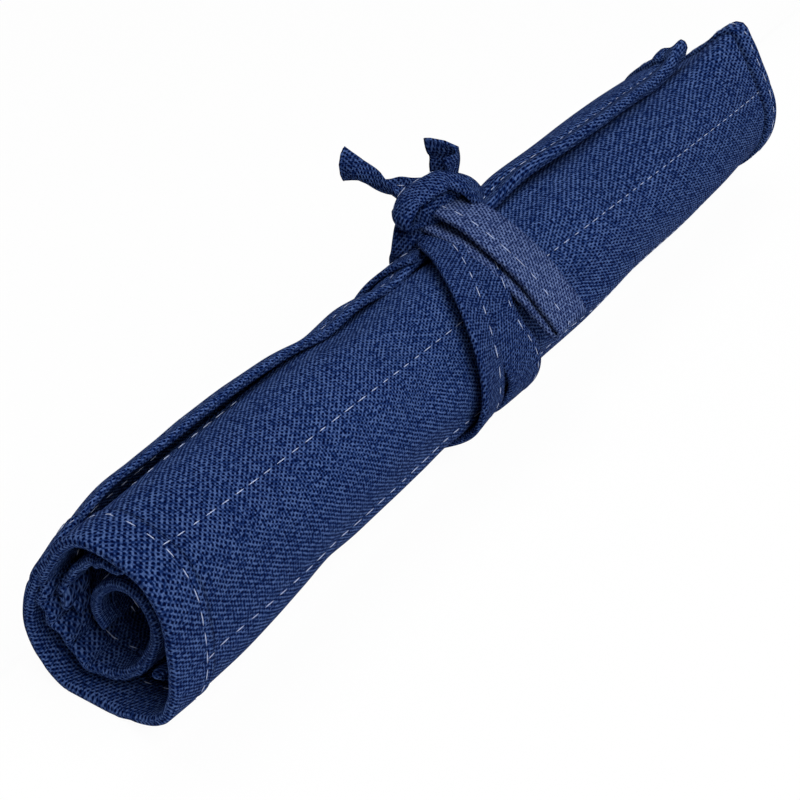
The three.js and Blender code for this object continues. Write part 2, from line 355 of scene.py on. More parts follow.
lastHinge = roll["pocketCount"]


def sectionMiddle(section):
    if section == 0:
        return roll["edgeStrip"] / 2
    return roll["edgeStrip"] + (section - 0.5) * roll["pocketPitch"]


# The stretch of cloth that bends across one pocket seam, from section to section
def hingeArcs(hinge):
    start = 0.0 if hinge == 1 else sectionMiddle(hinge - 1)
    end = panelWidth if hinge == lastHinge else sectionMiddle(hinge)
    return start, end


# The panel's own two edges follow the skew
def skewedArcs(hinge, arc, x):
    start, end = hingeArcs(hinge)
    if hinge == 1:
        return arc - (skewAt(x) + edgeReachAt(x)) * (end - arc) / (end - start)
    if hinge == lastHinge:
        return arc - skewAt(x) * (arc - start) / (end - start)
    return arc


def bendAcross(obj):
    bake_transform(obj)


# Shader helpers
def maths(tree, operation, *values):
    node = tree.nodes.new("ShaderNodeMath")
    node.operation = operation
    for socket, value in zip(node.inputs, values):
        if isinstance(value, (int, float)):
            socket.default_value = value
        else:
            tree.links.new(value, socket)
    return node.outputs[0]


def socketOf(sockets, identifier):
    return next(socket for socket in sockets if socket.identifier == identifier)


def srgb(*colour):
    parts = [c / 255 for c in colour]
    return (*[c / 12.92 if c <= 0.04045 else ((c + 0.055) / 1.055) ** 2.4 for c in parts], 1.0)


def newGroup(name, kind, inputs, outputs):
    group = bpy.data.node_groups.new(name, kind)
    for way, sockets in (("INPUT", inputs), ("OUTPUT", outputs)):
        for label, socketKind in sockets:
            group.interface.new_socket(label, in_out=way, socket_type="NodeSocket" + socketKind)
    return group, group.nodes.new("NodeGroupInput"), group.nodes.new("NodeGroupOutput")


def noiseAt(tree, place, scale, detail):
    noise = tree.nodes.new("ShaderNodeTexNoise")
    noise.inputs["Detail"].default_value = detail
    tree.links.new(place, noise.inputs["Vector"])
    if isinstance(scale, float):
        noise.inputs["Scale"].default_value = scale
    else:
        tree.links.new(scale, noise.inputs["Scale"])
    return noise.outputs["Fac"]


# Plain weave: bright where a thread lies on top, dark where it dips under. Light that rakes across the
# threads makes one diagonal tell more than the other: Rake turns from the second diagonal to the first.
weaveLook = {
    "wobble": (0.17, 0.21),             # scale of the drift along and around
    "firstDiagonal": (-0.07, -0.12),    # strength, and what Rake adds to it
    "secondDiagonal": (0.2, -0.11),
    "along": 0.13,
    "around": 0.09,
    "leastSwing": 0.5,                  # each crossing differs in strength
    "fuzzScale": 1.3,
    "fuzz": 1.2,
    "base": -0.08,
}


def weaveGroup():
    group, start, end = newGroup("plainWeave", "ShaderNodeTree", [
        ("Cloth place", "Vector"), ("Pitch along", "Float"), ("Pitch around", "Float"),
        ("Unevenness", "Float"), ("Rake", "Float")], [("Height", "Float"), ("Thread shade", "Float")])
    cloth, rake = start.outputs["Cloth place"], start.outputs["Rake"]
    split = group.nodes.new("ShaderNodeSeparateXYZ")
    group.links.new(cloth, split.inputs[0])
    places = []
    for axis, pitch in ((0, "Pitch along"), (1, "Pitch around")):
        drift = maths(group, "SUBTRACT", noiseAt(group, cloth, weaveLook["wobble"][axis], 5), 0.5)
        moved = maths(group, "MULTIPLY_ADD", drift, start.outputs["Unevenness"], split.outputs[axis])
        places.append(maths(group, "DIVIDE", moved, start.outputs[pitch]))

    def wave(phase, turns):
        return maths(group, "COSINE", maths(group, "MULTIPLY", phase, turns * math.pi))

    def raked(diagonal):
        plain, added = weaveLook[diagonal]
        return maths(group, "MULTIPLY_ADD", rake, added, plain)

    pattern = maths(group, "MULTIPLY", wave(maths(group, "SUBTRACT", *places), 1), raked("firstDiagonal"))
    second = wave(maths(group, "ADD", *places), 1)
    pattern = maths(group, "MULTIPLY_ADD", second, raked("secondDiagonal"), pattern)
    for axis, name in ((0, "along"), (1, "around")):
        pattern = maths(group, "MULTIPLY_ADD", wave(places[axis], 2), weaveLook[name], pattern)
    cell = group.nodes.new("ShaderNodeCombineXYZ")
    for axis in (0, 1):
        group.links.new(maths(group, "FLOOR", places[axis]), cell.inputs[axis])
    chance = group.nodes.new("ShaderNodeTexWhiteNoise")
    chance.noise_dimensions = "3D"
    group.links.new(cell.outputs[0], chance.inputs["Vector"])
    swing = maths(group, "ADD", chance.outputs["Value"], weaveLook["leastSwing"])
    height = maths(group, "MULTIPLY_ADD", pattern, swing, weaveLook["base"])
    fuzz = noiseAt(group, cloth, weaveLook["fuzzScale"], 3)
    height = maths(group, "MULTIPLY_ADD", fuzz, weaveLook["fuzz"], height)
    group.links.new(height, end.inputs["Height"])
    group.links.new(chance.outputs["Value"], end.inputs["Thread shade"])
    return group


# Slow patches of faded dye over a piece
def fadeGroup():
    group, start, end = newGroup("fadedPatches", "ShaderNodeTree", [
        ("Place", "Vector"), ("Patch scale", "Float"), ("Strength", "Float")], [("Fade", "Float")])
    noise = noiseAt(group, start.outputs["Place"], start.outputs["Patch scale"], 4)
    centred = maths(group, "SUBTRACT", noise, 0.5)
    faded = maths(group, "MULTIPLY_ADD", centred, start.outputs["Strength"], 1.0)
    group.links.new(faded, end.inputs["Fade"])
    return group


weave = weaveGroup()
fade = fadeGroup()


def newMaterial(name):
    material = bpy.data.materials.new(name)
    material.use_nodes = True
    return material, material.node_tree, material.node_tree.nodes["Principled BSDF"]


def placeGroup(tree, group, values):
    node = tree.nodes.new("ShaderNodeGroup")
    node.node_tree = group
    for name, value in values.items():
        node.inputs[name].default_value = value
    return node


def fadeOver(tree, scale, strength):
    where = tree.nodes.new("ShaderNodeTexCoord")
    patches = placeGroup(tree, fade, {"Patch scale": scale, "Strength": strength})
    tree.links.new(where.outputs["Object"], patches.inputs["Place"])
    return patches.outputs["Fade"]


def clothMaterial(name, finish):
    material, tree, shader = newMaterial(name)
    place = tree.nodes.new("ShaderNodeUVMap")
    place.uv_map = "cloth"
    along, around = finish["pitch"]
    threads = placeGroup(tree, weave, {
        "Pitch along": along, "Pitch around": around, "Unevenness": finish["unevenness"]})
    tree.links.new(place.outputs["UV"], threads.inputs["Cloth place"])
    split = tree.nodes.new("ShaderNodeSeparateXYZ")
    tree.links.new(place.outputs["UV"], split.inputs[0])
    rake = tree.nodes.new("ShaderNodeMapRange")
    rake.interpolation_type = "SMOOTHSTEP"
    rake.inputs["From Min"].default_value = finish["rake"][0]
    rake.inputs["From Max"].default_value = finish["rake"][1]
    tree.links.new(split.outputs["Y"], rake.inputs["Value"])
    tree.links.new(rake.outputs["Result"], threads.inputs["Rake"])
    ramp = tree.nodes.new("ShaderNodeValToRGB")
    stops = ramp.color_ramp.elements
    gapAt, threadAt, tipAt = finish["stops"]
    stops[0].position, stops[0].color = gapAt, srgb(*finish["gap"])
    stops[1].position, stops[1].color = tipAt, srgb(*finish["tip"])
    stops.new(threadAt).color = srgb(*finish["thread"])
    uneven = maths(tree, "SUBTRACT", threads.outputs["Thread shade"], 0.5)
    shade = maths(tree, "MULTIPLY_ADD", uneven, finish["threadShade"], threads.outputs["Height"])
    tree.links.new(shade, ramp.inputs["Fac"])
    dyed = tree.nodes.new("ShaderNodeHueSaturation")
    tree.links.new(ramp.outputs["Color"], dyed.inputs["Color"])
    # Painted shade: the attribute darkens the colour along hem steps and folds, by the finish's strength
    shadeDarkening = tree.nodes.new("ShaderNodeAttribute")
    shadeDarkening.attribute_name = "paintedShade"
    darker = maths(tree, "MULTIPLY_ADD", shadeDarkening.outputs["Fac"], -finish["shadeDarkening"], 1.0)
    faded = fadeOver(tree, finish["patchScale"], finish["patchStrength"])
    tree.links.new(maths(tree, "MULTIPLY", faded, darker), dyed.inputs["Value"])
    tree.links.new(dyed.outputs["Color"], shader.inputs["Base Color"])
    bump = tree.nodes.new("ShaderNodeBump")
    bump.inputs["Strength"].default_value = finish["bump"]
    bump.inputs["Distance"].default_value = finish["bumpHeight"] * mm
    tree.links.new(threads.outputs["Height"], bump.inputs["Height"])
    tree.links.new(bump.outputs["Normal"], shader.inputs["Normal"])
    shader.inputs["Roughness"].default_value = finish["roughness"]
    shader.inputs["Specular IOR Level"].default_value = finish["specular"]
    return material


canvasFinish = {
    "pitch": (0.92, 0.63), "unevenness": 0.8, "rake": (110.0, 130.0),
    "gap": (0, 5, 38), "thread": (18, 39, 87), "tip": (72, 95, 144), "stops": (0.28, 0.52, 0.82),
    # how much the painted shade along the hem steps darkens the colour
    "threadShade": 0.16, "shadeDarkening": 0.75, "patchScale": 26.0, "patchStrength": 0.3,
    "bump": 0.7, "bumpHeight": 0.25, "roughness": 0.95, "specular": 0.02,
}
# The tie's colours are set a little darker than the canvas's: the darkening is painted shade, standing in
# for the deeper shade among the wraps and the knot
strapFinish = {
    **canvasFinish, "pitch": (0.88, 0.66), "gap": (0, 4, 34), "thread": (15, 34, 80), "tip": (66, 88, 136),
    "rake": (-2.0, -1.0),
}
canvasCloth = clothMaterial("navyCanvas", canvasFinish)
pocketCloth = clothMaterial("pocketCanvas", {**canvasFinish, "pitch": (0.86, 0.66)})
strapCloth = clothMaterial("tieCanvas", strapFinish)
# The bow loop gets a lighter copy of the tie cloth
loopCloth = clothMaterial("lighterTieCanvas", {
    **strapFinish, "gap": (8, 18, 54), "thread": (44, 60, 104), "tip": (98, 116, 160)})


threadFinish = {
    "dull": (58, 76, 124), "bright": (172, 184, 216),
    "patchScale": 240.0, "patchStrength": 1.2, "roughness": 0.7,
}


def threadMaterial(name, finish):
    material, tree, shader = newMaterial(name)
    mix = tree.nodes.new("ShaderNodeMix")
    mix.data_type = "RGBA"
    faded = fadeOver(tree, finish["patchScale"], finish["patchStrength"])
    tree.links.new(faded, socketOf(mix.inputs, "Factor_Float"))
    socketOf(mix.inputs, "A_Color").default_value = srgb(*finish["dull"])
    socketOf(mix.inputs, "B_Color").default_value = srgb(*finish["bright"])
    tree.links.new(socketOf(mix.outputs, "Result_Color"), shader.inputs["Base Color"])
    shader.inputs["Roughness"].default_value = finish["roughness"]
    return material


paleThread = threadMaterial("paleThread", threadFinish)
print("materials made")

# Main panel: near hem turned inside, far hem a raised band outside, a thick rolled free edge
canvas = {
    "thickness": 1.0,
    "edgeRound": 1.1,
    "rowStep": 1.2,
    "nearHem": 12.0,
    "nearHemThickness": 1.4,
    "hemThickness": 0.9,
    "farHem": 8.5,
    "farHemRise": 1.3,
    "farGroove": 0.7,
    "ridgeRise": 0.6,
    "seamDip": 0.25,
    "seamWidth": 1.4,
    "edgeHem": 9.0,
    "edgePipe": 1.5,
    "edgePipeWidth": 1.9,
    "edgeGroove": 0.5,
    "edgeStitch": 6.0,
    "edgeClear": (3, 8),    # the far hem comes off the rolled edge over this way
    "edgeFull": (-20, 40),  # the rolled edge comes to its full size along here
    "pipeBegins": (-150, -105),
    "innerHem": 10.0,
    "lowSeam": 4,           # this seam sags as it leaves the near end
    "lowSeamSag": 1.8,
    "lowSeamRun": (-165, -105),
    "topSeam": 6,           # this one shows beside the free edge at the near end
    "topSeamShift": -4.2,
    "topSeamHidden": (-135.0, -105.0),
    "hemShadeEnds": (372, 390),     # the turns where the painted shade on the near hem's step ends
}


def seamWay(seam, x):
    way = roll["edgeStrip"] + (seam - 1) * roll["pocketPitch"]
    if seam == canvas["lowSeam"]:
        return way - canvas["lowSeamSag"] * smooth(x, *canvas["lowSeamRun"])
    if seam == canvas["topSeam"]:
        return way + canvas["topSeamShift"] * (1 - smooth(x, *canvas["topSeamHidden"]))
    return way + 0 * x


def canvasDepths(arc, x, farPlace):
    way = arc + skewAt(x)
    edgeWay = way + edgeReachAt(x)
    hemPlace = farPlace - canvas["farHem"]
    offEdge = smooth(edgeWay, *canvas["edgeClear"])
    rise = stepAt(x, hemPlace, 0.35) * (0.2 + 0.8 * offEdge)
    groove = hump(x, hemPlace - 0.9, 0.7) * offEdge
    ridge = 1 - smooth(x, nearEnd + canvas["nearHem"] + 0.4, nearEnd + canvas["nearHem"] + 1.6)
    nearStitch = hump(x, nearEnd + canvas["nearHem"] - 1.5, 0.8)
    full = smooth(x, *canvas["edgeFull"])
    pipe = hump(edgeWay, 1.2, canvas["edgePipeWidth"]) * (0.3 + 0.7 * full)
    pipe = pipe * smooth(x, *canvas["pipeBegins"])
    seam = sum(hump(way, seamWay(k, x), canvas["seamWidth"]) for k in range(1, lastHinge + 1))
    edgeSeam = hump(edgeWay, canvas["edgeStitch"], 0.8)
    outer = -canvas["farHemRise"] * rise - canvas["ridgeRise"] * ridge - canvas["edgePipe"] * pipe
    outer = outer + canvas["seamDip"] * np.minimum(seam + nearStitch + edgeSeam, 1) * (1 - rise)
    outer = outer + canvas["farGroove"] * groove
    outer = outer + canvas["edgeGroove"] * hump(edgeWay, 5.2, 1.3) * full
    nearHem = 1 - stepAt(x, nearEnd + canvas["nearHem"], 0.3)
    edgeHem = 1 - stepAt(edgeWay, canvas["edgeHem"], 0.4)
    innerHem = stepAt(way, panelWidth - canvas["innerHem"], 0.4)
    longHem = canvas["hemThickness"] * np.maximum(edgeHem, innerHem)
    hem = np.maximum(canvas["nearHemThickness"] * nearHem, longHem)
    bunched = smooth(x, freeEdge["cornerHemFrom"], cornerEnd)
    bunched = bunched * (1 - smooth(edgeWay, *freeEdge["cornerHemWay"]))
    inner = canvas["thickness"] + hem + canvas["edgePipe"] * 0.6 * pipe + freeEdge["cornerHem"] * bunched
    return outer, inner


# Painted shade on the outer face, darkest along the step of each hem and beside the rolled free edge, where
# the edge shades the cloth
def canvasHemShade(arc, x, farPlace):
    edgeWay = arc + skewAt(x) + edgeReachAt(x)
    farStep = hump(x, farPlace - canvas["farHem"] - 0.5, 0.55) * smooth(edgeWay, *canvas["edgeClear"])
    outside = 1 - smooth(turnAt(arc), *canvas["hemShadeEnds"])
    nearStep = 0.7 * hump(x, nearEnd + canvas["nearHem"] + 1.2, 0.6) * outside
    edgeStep = 0.6 * hump(edgeWay, 4.9, 0.9) * smooth(x, *canvas["edgeFull"])
    return np.clip(farStep + nearStep + edgeStep, 0, 1)


# Where a place lies in the weave, which is drawn wider and more askew towards the far end
threadDraw = {
    "from": -120.0, "to": 90.0, "share": 0.5,
    "slant": 0.5, "slantFrom": (-60, 80), "straightWay": 118.0, "slantReach": 34.0,
}


def threadPlace(way, x):
    span = threadDraw["to"] - threadDraw["from"]
    t = np.clip((x - threadDraw["from"]) / span, 0, 1)
    drawn = x - threadDraw["share"] * (span * (t ** 3 - t ** 4 / 2) + np.maximum(x - threadDraw["to"], 0))
    aside = threadDraw["slantReach"] * np.tanh((way - threadDraw["straightWay"]) / threadDraw["slantReach"])
    return drawn + threadDraw["slant"] * smooth(x, *threadDraw["slantFrom"]) * aside


canvasColumns = stepped(
    (nearEnd, 0.9), (nearEnd + 15, 1.8), (-85, 1.6), (35, 1.8), (farEnd - 14, 0.7), (farEnd, 1))


# Columns keep their places to cornerFrom, and draw together to the short corner beyond it
def cornerPlaces(columns, turn):
    reach = (farEndAt(turn) - roll["cornerFrom"]) / (farEnd - roll["cornerFrom"])
    late = roll["cornerFrom"] + (columns - roll["cornerFrom"]) * reach
    return np.where(columns > roll["cornerFrom"], late, columns)


def mouthRecess(turn):
    recess = throughPoints(nearMouth["recessTurns"], nearMouth["recess"], turn)
    return recess * smooth(turn, *nearMouth["recessFrom"])


def canvasGrid(hinge, arcs, columns):
    arc, x = np.meshgrid(arcs, columns, indexing="ij")
    turn = turnAt(arc)
    nearPull = nearFade(x, nearMouth["pullRun"])
    wander = sum(size * np.sin(arc / length + phase) for size, length, phase in nearMouth["wander"])
    wander = wander * between(turn, nearMouth["wanderTurns"])
    x = cornerPlaces(x, turn) + nearPull * (mouthRecess(turn) + wander)
    return skewedArcs(hinge, arc, x), x, farEndAt(turn)


def clothFaces(arc, x, outerDepth, innerDepth, share):
    point, normal = clothFrame(arc, x)
    middle = (outerDepth + innerDepth) / 2
    half = (innerDepth - outerDepth) / 2 * share
    outer = point - normal * (middle - half)[..., None]
    inner = point - normal * (middle + half)[..., None]
    floorHeight = waistAt(x) + 0.02
    outer[..., 2] = np.maximum(outer[..., 2], floorHeight)
    inner[..., 2] = np.maximum(inner[..., 2], floorHeight + (2 * half) * 0.8)
    return outer, inner


def cutRows(hinge, rows, columns):
    marks = []
    if hinge > 1:
        marks.append(gridRow(rows, columns, 0))
    if hinge < lastHinge:
        marks.append(gridRow(rows, columns, rows - 1))
    return marks


def canvasPiece(hinge):
    start, end = hingeArcs(hinge)
    inside = np.linspace(start, end, max(6, round((end - start) / canvas["rowStep"])))
    if hinge == 1:
        inside = stepped((start, 0.5), (start + 13, canvas["rowStep"]), (end, 1))
    arcs, arcShare, arcFurther = sheetPlaces(
        start, end, inside, canvas["edgeRound"], hinge == 1, hinge == lastHinge)
    columns, columnShare, columnFurther = sheetPlaces(nearEnd, farEnd, canvasColumns, canvas["edgeRound"])
    arc, x, farPlace = canvasGrid(hinge, arcs, columns)
    outerDepth, innerDepth = canvasDepths(arc, x, farPlace)
    outer, inner = clothFaces(arc, x, outerDepth, innerDepth, arcShare[:, None] * columnShare[None, :])
    hemPlace = farPlace - canvas["farHem"]
    overStep = canvas["farHemRise"] * stepAt(x, hemPlace, 0.5)
    around = arc + skewAt(x) + arcFurther[:, None]
    if hinge == 1:      # the threads follow the rolled edge
        steps = np.linalg.norm(np.diff(outer, axis=0), axis=2)
        around[:-1] = around[-1] - np.cumsum(steps[::-1], axis=0)[::-1]
    along = threadPlace(around, x) + columnFurther[None, :] + overStep
    points, faces, uvs = closedGrid(outer, inner, np.stack([along, around], -1))
    sharp = cutRows(hinge, *arc.shape)
    # painted shade along the hem steps, on the outer face only
    hemShade = canvasHemShade(arc, x, farPlace)
    obj = meshObject("canvas_panel_%02d" % hinge, points, faces, uvs, sharp, np.stack([hemShade, hemShade * 0]))
    obj.data.materials.append(canvasCloth)
    return obj


for hinge in range(1, lastHinge + 1):
    piece = canvasPiece(hinge)
    start, end = hingeArcs(hinge)
    nodes = ["canvas_%02d" % hinge]
    if hinge == 1:
        nodes += ["canvas_edge", "free_edge_hem"]
    if hinge == lastHinge:
        nodes.append("inner_edge_hem")
    bendAcross(piece)
    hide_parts(*nodes)
print("main panel made")

# Pocket panel: lies inside the main panel and is open towards the far end
pocket = {
    "gap": 0.3,
    "thickness": 0.7,
    "sideRound": 0.35,
    "endRound": 0.9,
    "start": nearEnd + 12.9,
    "depth": 225.0,
    "hem": 9.0,
    "foldThickness": 1.5,   # its near edge is folded
    "foldEnds": (nearEnd + 14, nearEnd + 15),
    "offHem": (nearEnd + 11.5, nearEnd + 13),       # it comes off the near hem here
    "looseTurns": [296, 316, 331, 350, 379, 416, 448, 480],     # it comes away from the main panel here
    "loose": [0.0, 3.2, 4.0, 3.2, 1.8, 2.4, 0.8, 0.0],
    "bunchTurn": 217.0,     # and where it bunches up, low at the front
    "bunchWidth": 9.0,
    "bunchDepth": 4.6,
    "reach": 10.5,          # how far it stands out towards the near end there
    "edgeOverlap": 4.0,     # it starts this far before the first seam
    "curlFrom": (500, 540),
    "curlReach": 0.8,
    "pullRun": 45.0,
    "looseRun": 48.0,
    "ruffle": 0.3,
    "ruffleRun": 30.0,
    "ruffleLength": 1.25,
    "ruffleStart": 0.6,
    "topHemRise": 0.6,
}
pocketColumns = stepped((pocket["start"], 1.4), (pocket["start"] + 30, 2.6), (nearEnd + pocket["depth"], 1))


def pocketPiece(hinge):
    start, end = hingeArcs(hinge)
    if hinge == 1:
        start = roll["edgeStrip"] - pocket["edgeOverlap"]
    inside = np.linspace(start, end, max(6, round((end - start) / canvas["rowStep"])))
    arcs, arcShare, arcFurther = sheetPlaces(
        start, end, inside, pocket["sideRound"], hinge == 1, hinge == lastHinge)
    columns, columnShare, columnFurther = sheetPlaces(
        pocket["start"], nearEnd + pocket["depth"], pocketColumns, pocket["endRound"])
    arc, x = np.meshgrid(arcs, columns, indexing="ij")
    turn = turnAt(arc)
    free = np.interp(turn, pocket["looseTurns"], pocket["loose"])
    loose = np.minimum(free / 2, 1)
    bunch = hump(turn, pocket["bunchTurn"], pocket["bunchWidth"])
    inCurl = pocket["curlReach"] * smooth(turn, *pocket["curlFrom"])
    nearPull = 1 - smooth(x, pocket["start"], pocket["start"] + pocket["pullRun"])
    standsOut = np.maximum(np.maximum(loose, bunch), inCurl)
    x = x + nearPull * (mouthRecess(turn) - pocket["reach"] * standsOut)
    arc = skewedArcs(hinge, arc, x) if hinge == lastHinge else arc
    nearby = nearFade(x, pocket["looseRun"])
    away = (free + bunch * pocket["bunchDepth"]) * nearby
    ruffle = pocket["ruffle"] * np.sin(arc / pocket["ruffleLength"] + pocket["ruffleStart"])
    away = away + loose * nearFade(x, pocket["ruffleRun"]) * ruffle
    hemStep = canvas["nearHemThickness"] * (1 - smooth(x, *pocket["offHem"]))
    hemPlace = nearEnd + pocket["depth"] - pocket["hem"]
    topHem = pocket["topHemRise"] * stepAt(x, hemPlace, 0.3)
    fold = pocket["foldThickness"] * (1 - smooth(x, *pocket["foldEnds"])) * np.maximum(loose, bunch)
    outerDepth = canvas["thickness"] + pocket["gap"] + away + hemStep
    innerDepth = outerDepth + pocket["thickness"] + topHem + fold
    outer, inner = clothFaces(arc, x, outerDepth, innerDepth, arcShare[:, None] * columnShare[None, :])
    around = arc + skewAt(x) + arcFurther[:, None]
    along = threadPlace(around, x) + columnFurther[None, :]
    points, faces, uvs = closedGrid(outer, inner, np.stack([along, around], -1))
    obj = meshObject("pocket_panel_%02d" % hinge, points, faces, uvs, cutRows(hinge, *arc.shape))
    obj.data.materials.append(pocketCloth)
    return obj, end - start


for hinge in range(1, lastHinge + 1):
    piece, width = pocketPiece(hinge)
    bendAcross(piece)
    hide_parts("pocket_%02d" % hinge)
print("pocket panel made")


# Stitches: thread instances along rows of edges
stitch = {"spacing": 5.4, "radius": 0.13, "leastShare": 0.42, "mostShare": 0.82, "lift": 0.09}


def stitchTree():
    tree, start, end = newGroup("stitchRows", "GeometryNodeTree", [
        ("Rows", "Geometry"), ("Spacing", "Float"), ("Thread radius", "Float"), ("Least share", "Float"),
        ("Seed", "Int"), ("Thread", "Material")], [("Stitches", "Geometry")])
    curve = tree.nodes.new("GeometryNodeMeshToCurve")
    even = tree.nodes.new("GeometryNodeResampleCurve")
    even.mode = "LENGTH"
    thread = tree.nodes.new("GeometryNodeMeshUVSphere")
    for name, value in (("Segments", 6), ("Rings", 5), ("Radius", 1.0)):
        thread.inputs[name].default_value = value
    tangent = tree.nodes.new("GeometryNodeInputTangent")
    turn = tree.nodes.new("FunctionNodeAlignRotationToVector")
    turn.axis = "X"
    chance = tree.nodes.new("FunctionNodeRandomValue")
    chance.data_type = "FLOAT"
    half = maths(tree, "MULTIPLY", start.outputs["Spacing"], 0.5)
    reach = maths(tree, "MULTIPLY", half, socketOf(chance.outputs, "Value_001"))
    size = tree.nodes.new("ShaderNodeCombineXYZ")
    place = tree.nodes.new("GeometryNodeInstanceOnPoints")
    real = tree.nodes.new("GeometryNodeRealizeInstances")
    paint = tree.nodes.new("GeometryNodeSetMaterial")
    shade = tree.nodes.new("GeometryNodeSetShadeSmooth")
    link = tree.links.new
    link(start.outputs["Rows"], curve.inputs["Mesh"])
    link(curve.outputs["Curve"], even.inputs["Curve"])
    link(start.outputs["Spacing"], even.inputs["Length"])
    link(tangent.outputs[0], turn.inputs["Vector"])
    socketOf(chance.inputs, "Max_001").default_value = stitch["mostShare"]
    link(start.outputs["Least share"], socketOf(chance.inputs, "Min_001"))
    link(start.outputs["Seed"], chance.inputs["Seed"])
    link(reach, size.inputs["X"])
    link(start.outputs["Thread radius"], size.inputs["Y"])
    link(start.outputs["Thread radius"], size.inputs["Z"])
    link(even.outputs["Curve"], place.inputs["Points"])
    link(thread.outputs["Mesh"], place.inputs["Instance"])
    link(turn.outputs["Rotation"], place.inputs["Rotation"])
    link(size.outputs[0], place.inputs["Scale"])
    link(place.outputs["Instances"], real.inputs["Geometry"])
    link(real.outputs["Geometry"], shade.inputs["Geometry"])
    link(shade.outputs["Geometry"], paint.inputs["Geometry"])
    link(start.outputs["Thread"], paint.inputs["Material"])
    link(paint.outputs["Geometry"], end.inputs["Stitches"])
    return tree


stitchNodes = stitchTree()


# Rows are lists of points in millimetres. The result is a plain mesh.
def stitchObject(name, rows, seed):
    points, edges = [], []
    for row in rows:
        first = len(points)
        points += [tuple(p * mm) for p in row]
        edges += [(i, i + 1) for i in range(first, len(points) - 1)]
    mesh = bpy.data.meshes.new(name + "_rows")
    mesh.from_pydata(points, edges, [])
    source = addObject(name + "_rows", mesh)
    modifier = source.modifiers.new("stitches", "NODES")
    modifier.node_group = stitchNodes
    values = {"Spacing": stitch["spacing"] * mm, "Thread radius": stitch["radius"] * mm,
              "Least share": stitch["leastShare"], "Seed": seed, "Thread": paleThread}
    for item in stitchNodes.interface.items_tree:
        if item.name in values and item.in_out == "INPUT":
            modifier[item.identifier] = values[item.name]
    graph = bpy.context.evaluated_depsgraph_get()
    made = bpy.data.meshes.new_from_object(source.evaluated_get(graph))
    bpy.data.objects.remove(source)
    made.name = name
    return addObject(name, made)


# A row on the outer or inner face of the main panel
def panelRow(arcs, places, inside=False, depth=None, sunk=0.0):
    arcs, places = np.broadcast_arrays(np.asarray(arcs, float), np.asarray(places, float))
    point, normal = clothFrame(arcs, places)
    outer, inner = canvasDepths(arcs, places, farEndAt(turnAt(arcs)))
    at = inner + stitch["lift"] if inside else outer - stitch["lift"] + sunk
    if depth is not None:
        at = at * 0 + depth
    row = point - normal * at[..., None]
    row[:, 2] = np.maximum(row[:, 2], stitch["radius"] + waistAt(places))
    return row


rowsAt = {
    "nearHem": nearEnd + 10.5,
    "farHem": 4.2,
    "farHemStart": 11,      # not on the creased corner
    "seamStart": nearEnd + 12.0,
    "seamEnd": 9.5,
    "freeEdgeEnd": 128.0,
    "freeEdgeSunk": 0.13,
    "hemStep": 0.8,
    "seamStep": 1.5,
    "firstSeed": 11,
}
for hinge in range(1, lastHinge + 1):
    start, end = hingeArcs(hinge)
    arcs = np.arange(start, end, rowsAt["hemStep"])
    nearArcs = skewedArcs(hinge, arcs, rowsAt["nearHem"])
    hemArcs = arcs[arcs > rowsAt["farHemStart"]] if hinge == 1 else arcs
    farArcs = skewedArcs(hinge, hemArcs, farEndAt(turnAt(hemArcs)))
    places = np.arange(rowsAt["seamStart"], farEnd, rowsAt["seamStep"])
    seam = seamWay(hinge, places) - skewAt(places)
    kept = places < farEndAt(turnAt(seam)) - rowsAt["seamEnd"]
    seam, places = seam[kept], places[kept]
    inPocket = (places > pocket["start"] + 2) & (places < nearEnd + pocket["depth"] - 1)
    pastPocket = places > nearEnd + pocket["depth"] + 2
    pocketFace = canvas["thickness"] + pocket["gap"] + pocket["thickness"] + stitch["lift"]
    nearPlaces = rowsAt["nearHem"] + mouthRecess(turnAt(arcs))
    farPlaces = farEndAt(turnAt(hemArcs)) - rowsAt["farHem"]
    shown = places < (canvas["topSeamHidden"][1] if hinge == canvas["topSeam"] else farEnd)
    rows = [
        panelRow(seam[shown], places[shown]),
        panelRow(nearArcs, nearPlaces),
        panelRow(nearArcs, nearPlaces, inside=True),
        panelRow(farArcs, farPlaces),
        panelRow(farArcs, farPlaces, inside=True),
        panelRow(seam[pastPocket], places[pastPocket], inside=True),
        panelRow(seam[inPocket], places[inPocket], depth=pocketFace),
    ]
    if hinge == 1:
        edgePlaces = np.arange(rowsAt["seamStart"], rowsAt["freeEdgeEnd"], rowsAt["seamStep"])
        edgeArcs = canvas["edgeStitch"] - skewAt(edgePlaces) - edgeReachAt(edgePlaces)
        rows.append(panelRow(edgeArcs, edgePlaces, sunk=rowsAt["freeEdgeSunk"]))
    made = stitchObject("panel_stitches_%02d" % hinge, rows, rowsAt["firstSeed"] + hinge)
    bendAcross(made)
print("panel stitches made")


# Tie: a flat folded strap. Its section runs once round: top, open edge, underside, folded edge.
tie = {
    "thickness": 1.9,
    "stitchPlace": 0.24,
    "stitchHeight": 0.43,
    "clearance": 1.0,           # what the cloth's own ripples need
    "underTurns": (100, 130, 175, 205),     # but not under the roll
    "lastHinge": 5,
    "rows": 34,
    "ragged": 0.35,
    "cutEnd": 4,                # the stitches stop this many points short of a cut end
    "cupSpread": 2.3,
    "section": [
        (-0.46, 0.47), (-0.3, 0.5), (-0.15, 0.5), (0.0, 0.5), (0.18, 0.47), (0.24, 0.42), (0.3, 0.47),
        (0.37, 0.5), (0.47, 0.45), (0.5, 0.25), (0.485, 0.02), (0.5, -0.25), (0.47, -0.45), (0.3, -0.5),
        (0.0, -0.5), (-0.3, -0.5), (-0.46, -0.45), (-0.5, -0.2), (-0.5, 0.2),
    ],
}


